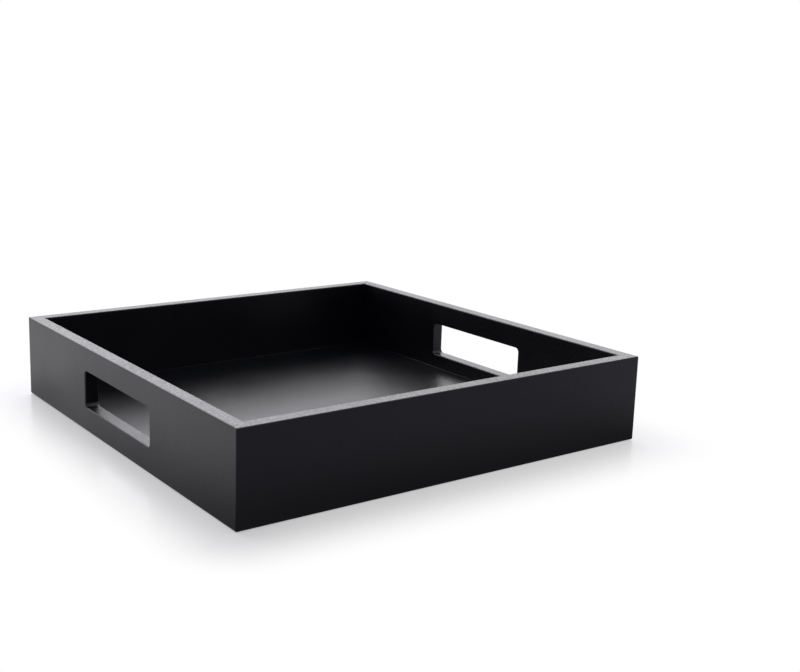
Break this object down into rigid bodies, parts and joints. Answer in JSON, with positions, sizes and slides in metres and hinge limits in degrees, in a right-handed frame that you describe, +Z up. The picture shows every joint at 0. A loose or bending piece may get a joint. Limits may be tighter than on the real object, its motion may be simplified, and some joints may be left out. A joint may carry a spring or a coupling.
{
  "type": "wooden tray",
  "caption": "Square black lacquered wooden tray with mitred walls, a flat inset base and a rounded hand cut-out in each of two opposite walls.",
  "frame": {"origin": "middle of the footprint, on the surface that the felt pads stand on", "axes": "+Z up; +X towards the right handle wall, along the plain front wall; +Y from the front wall to the back wall"},
  "size_m": [0.32, 0.32, 0.0605],
  "materials": {
    "lacquer": "satin black lacquer on wood",
    "beech": "bare sawn beech, glued in",
    "felt": "pressed wool felt"
  },
  "bodies": {
    "root": {"front_wall": "lacquer", "back_wall": "lacquer", "left_handle_wall": "lacquer", "right_handle_wall": "lacquer", "base_panel": "lacquer", "spline_front_left": "beech", "spline_front_right": "beech", "spline_back_right": "beech", "spline_back_left": "beech", "foot_pad_front_left": "felt", "foot_pad_front_right": "felt", "foot_pad_back_right": "felt", "foot_pad_back_left": "felt"}
  },
  "joints": []
}
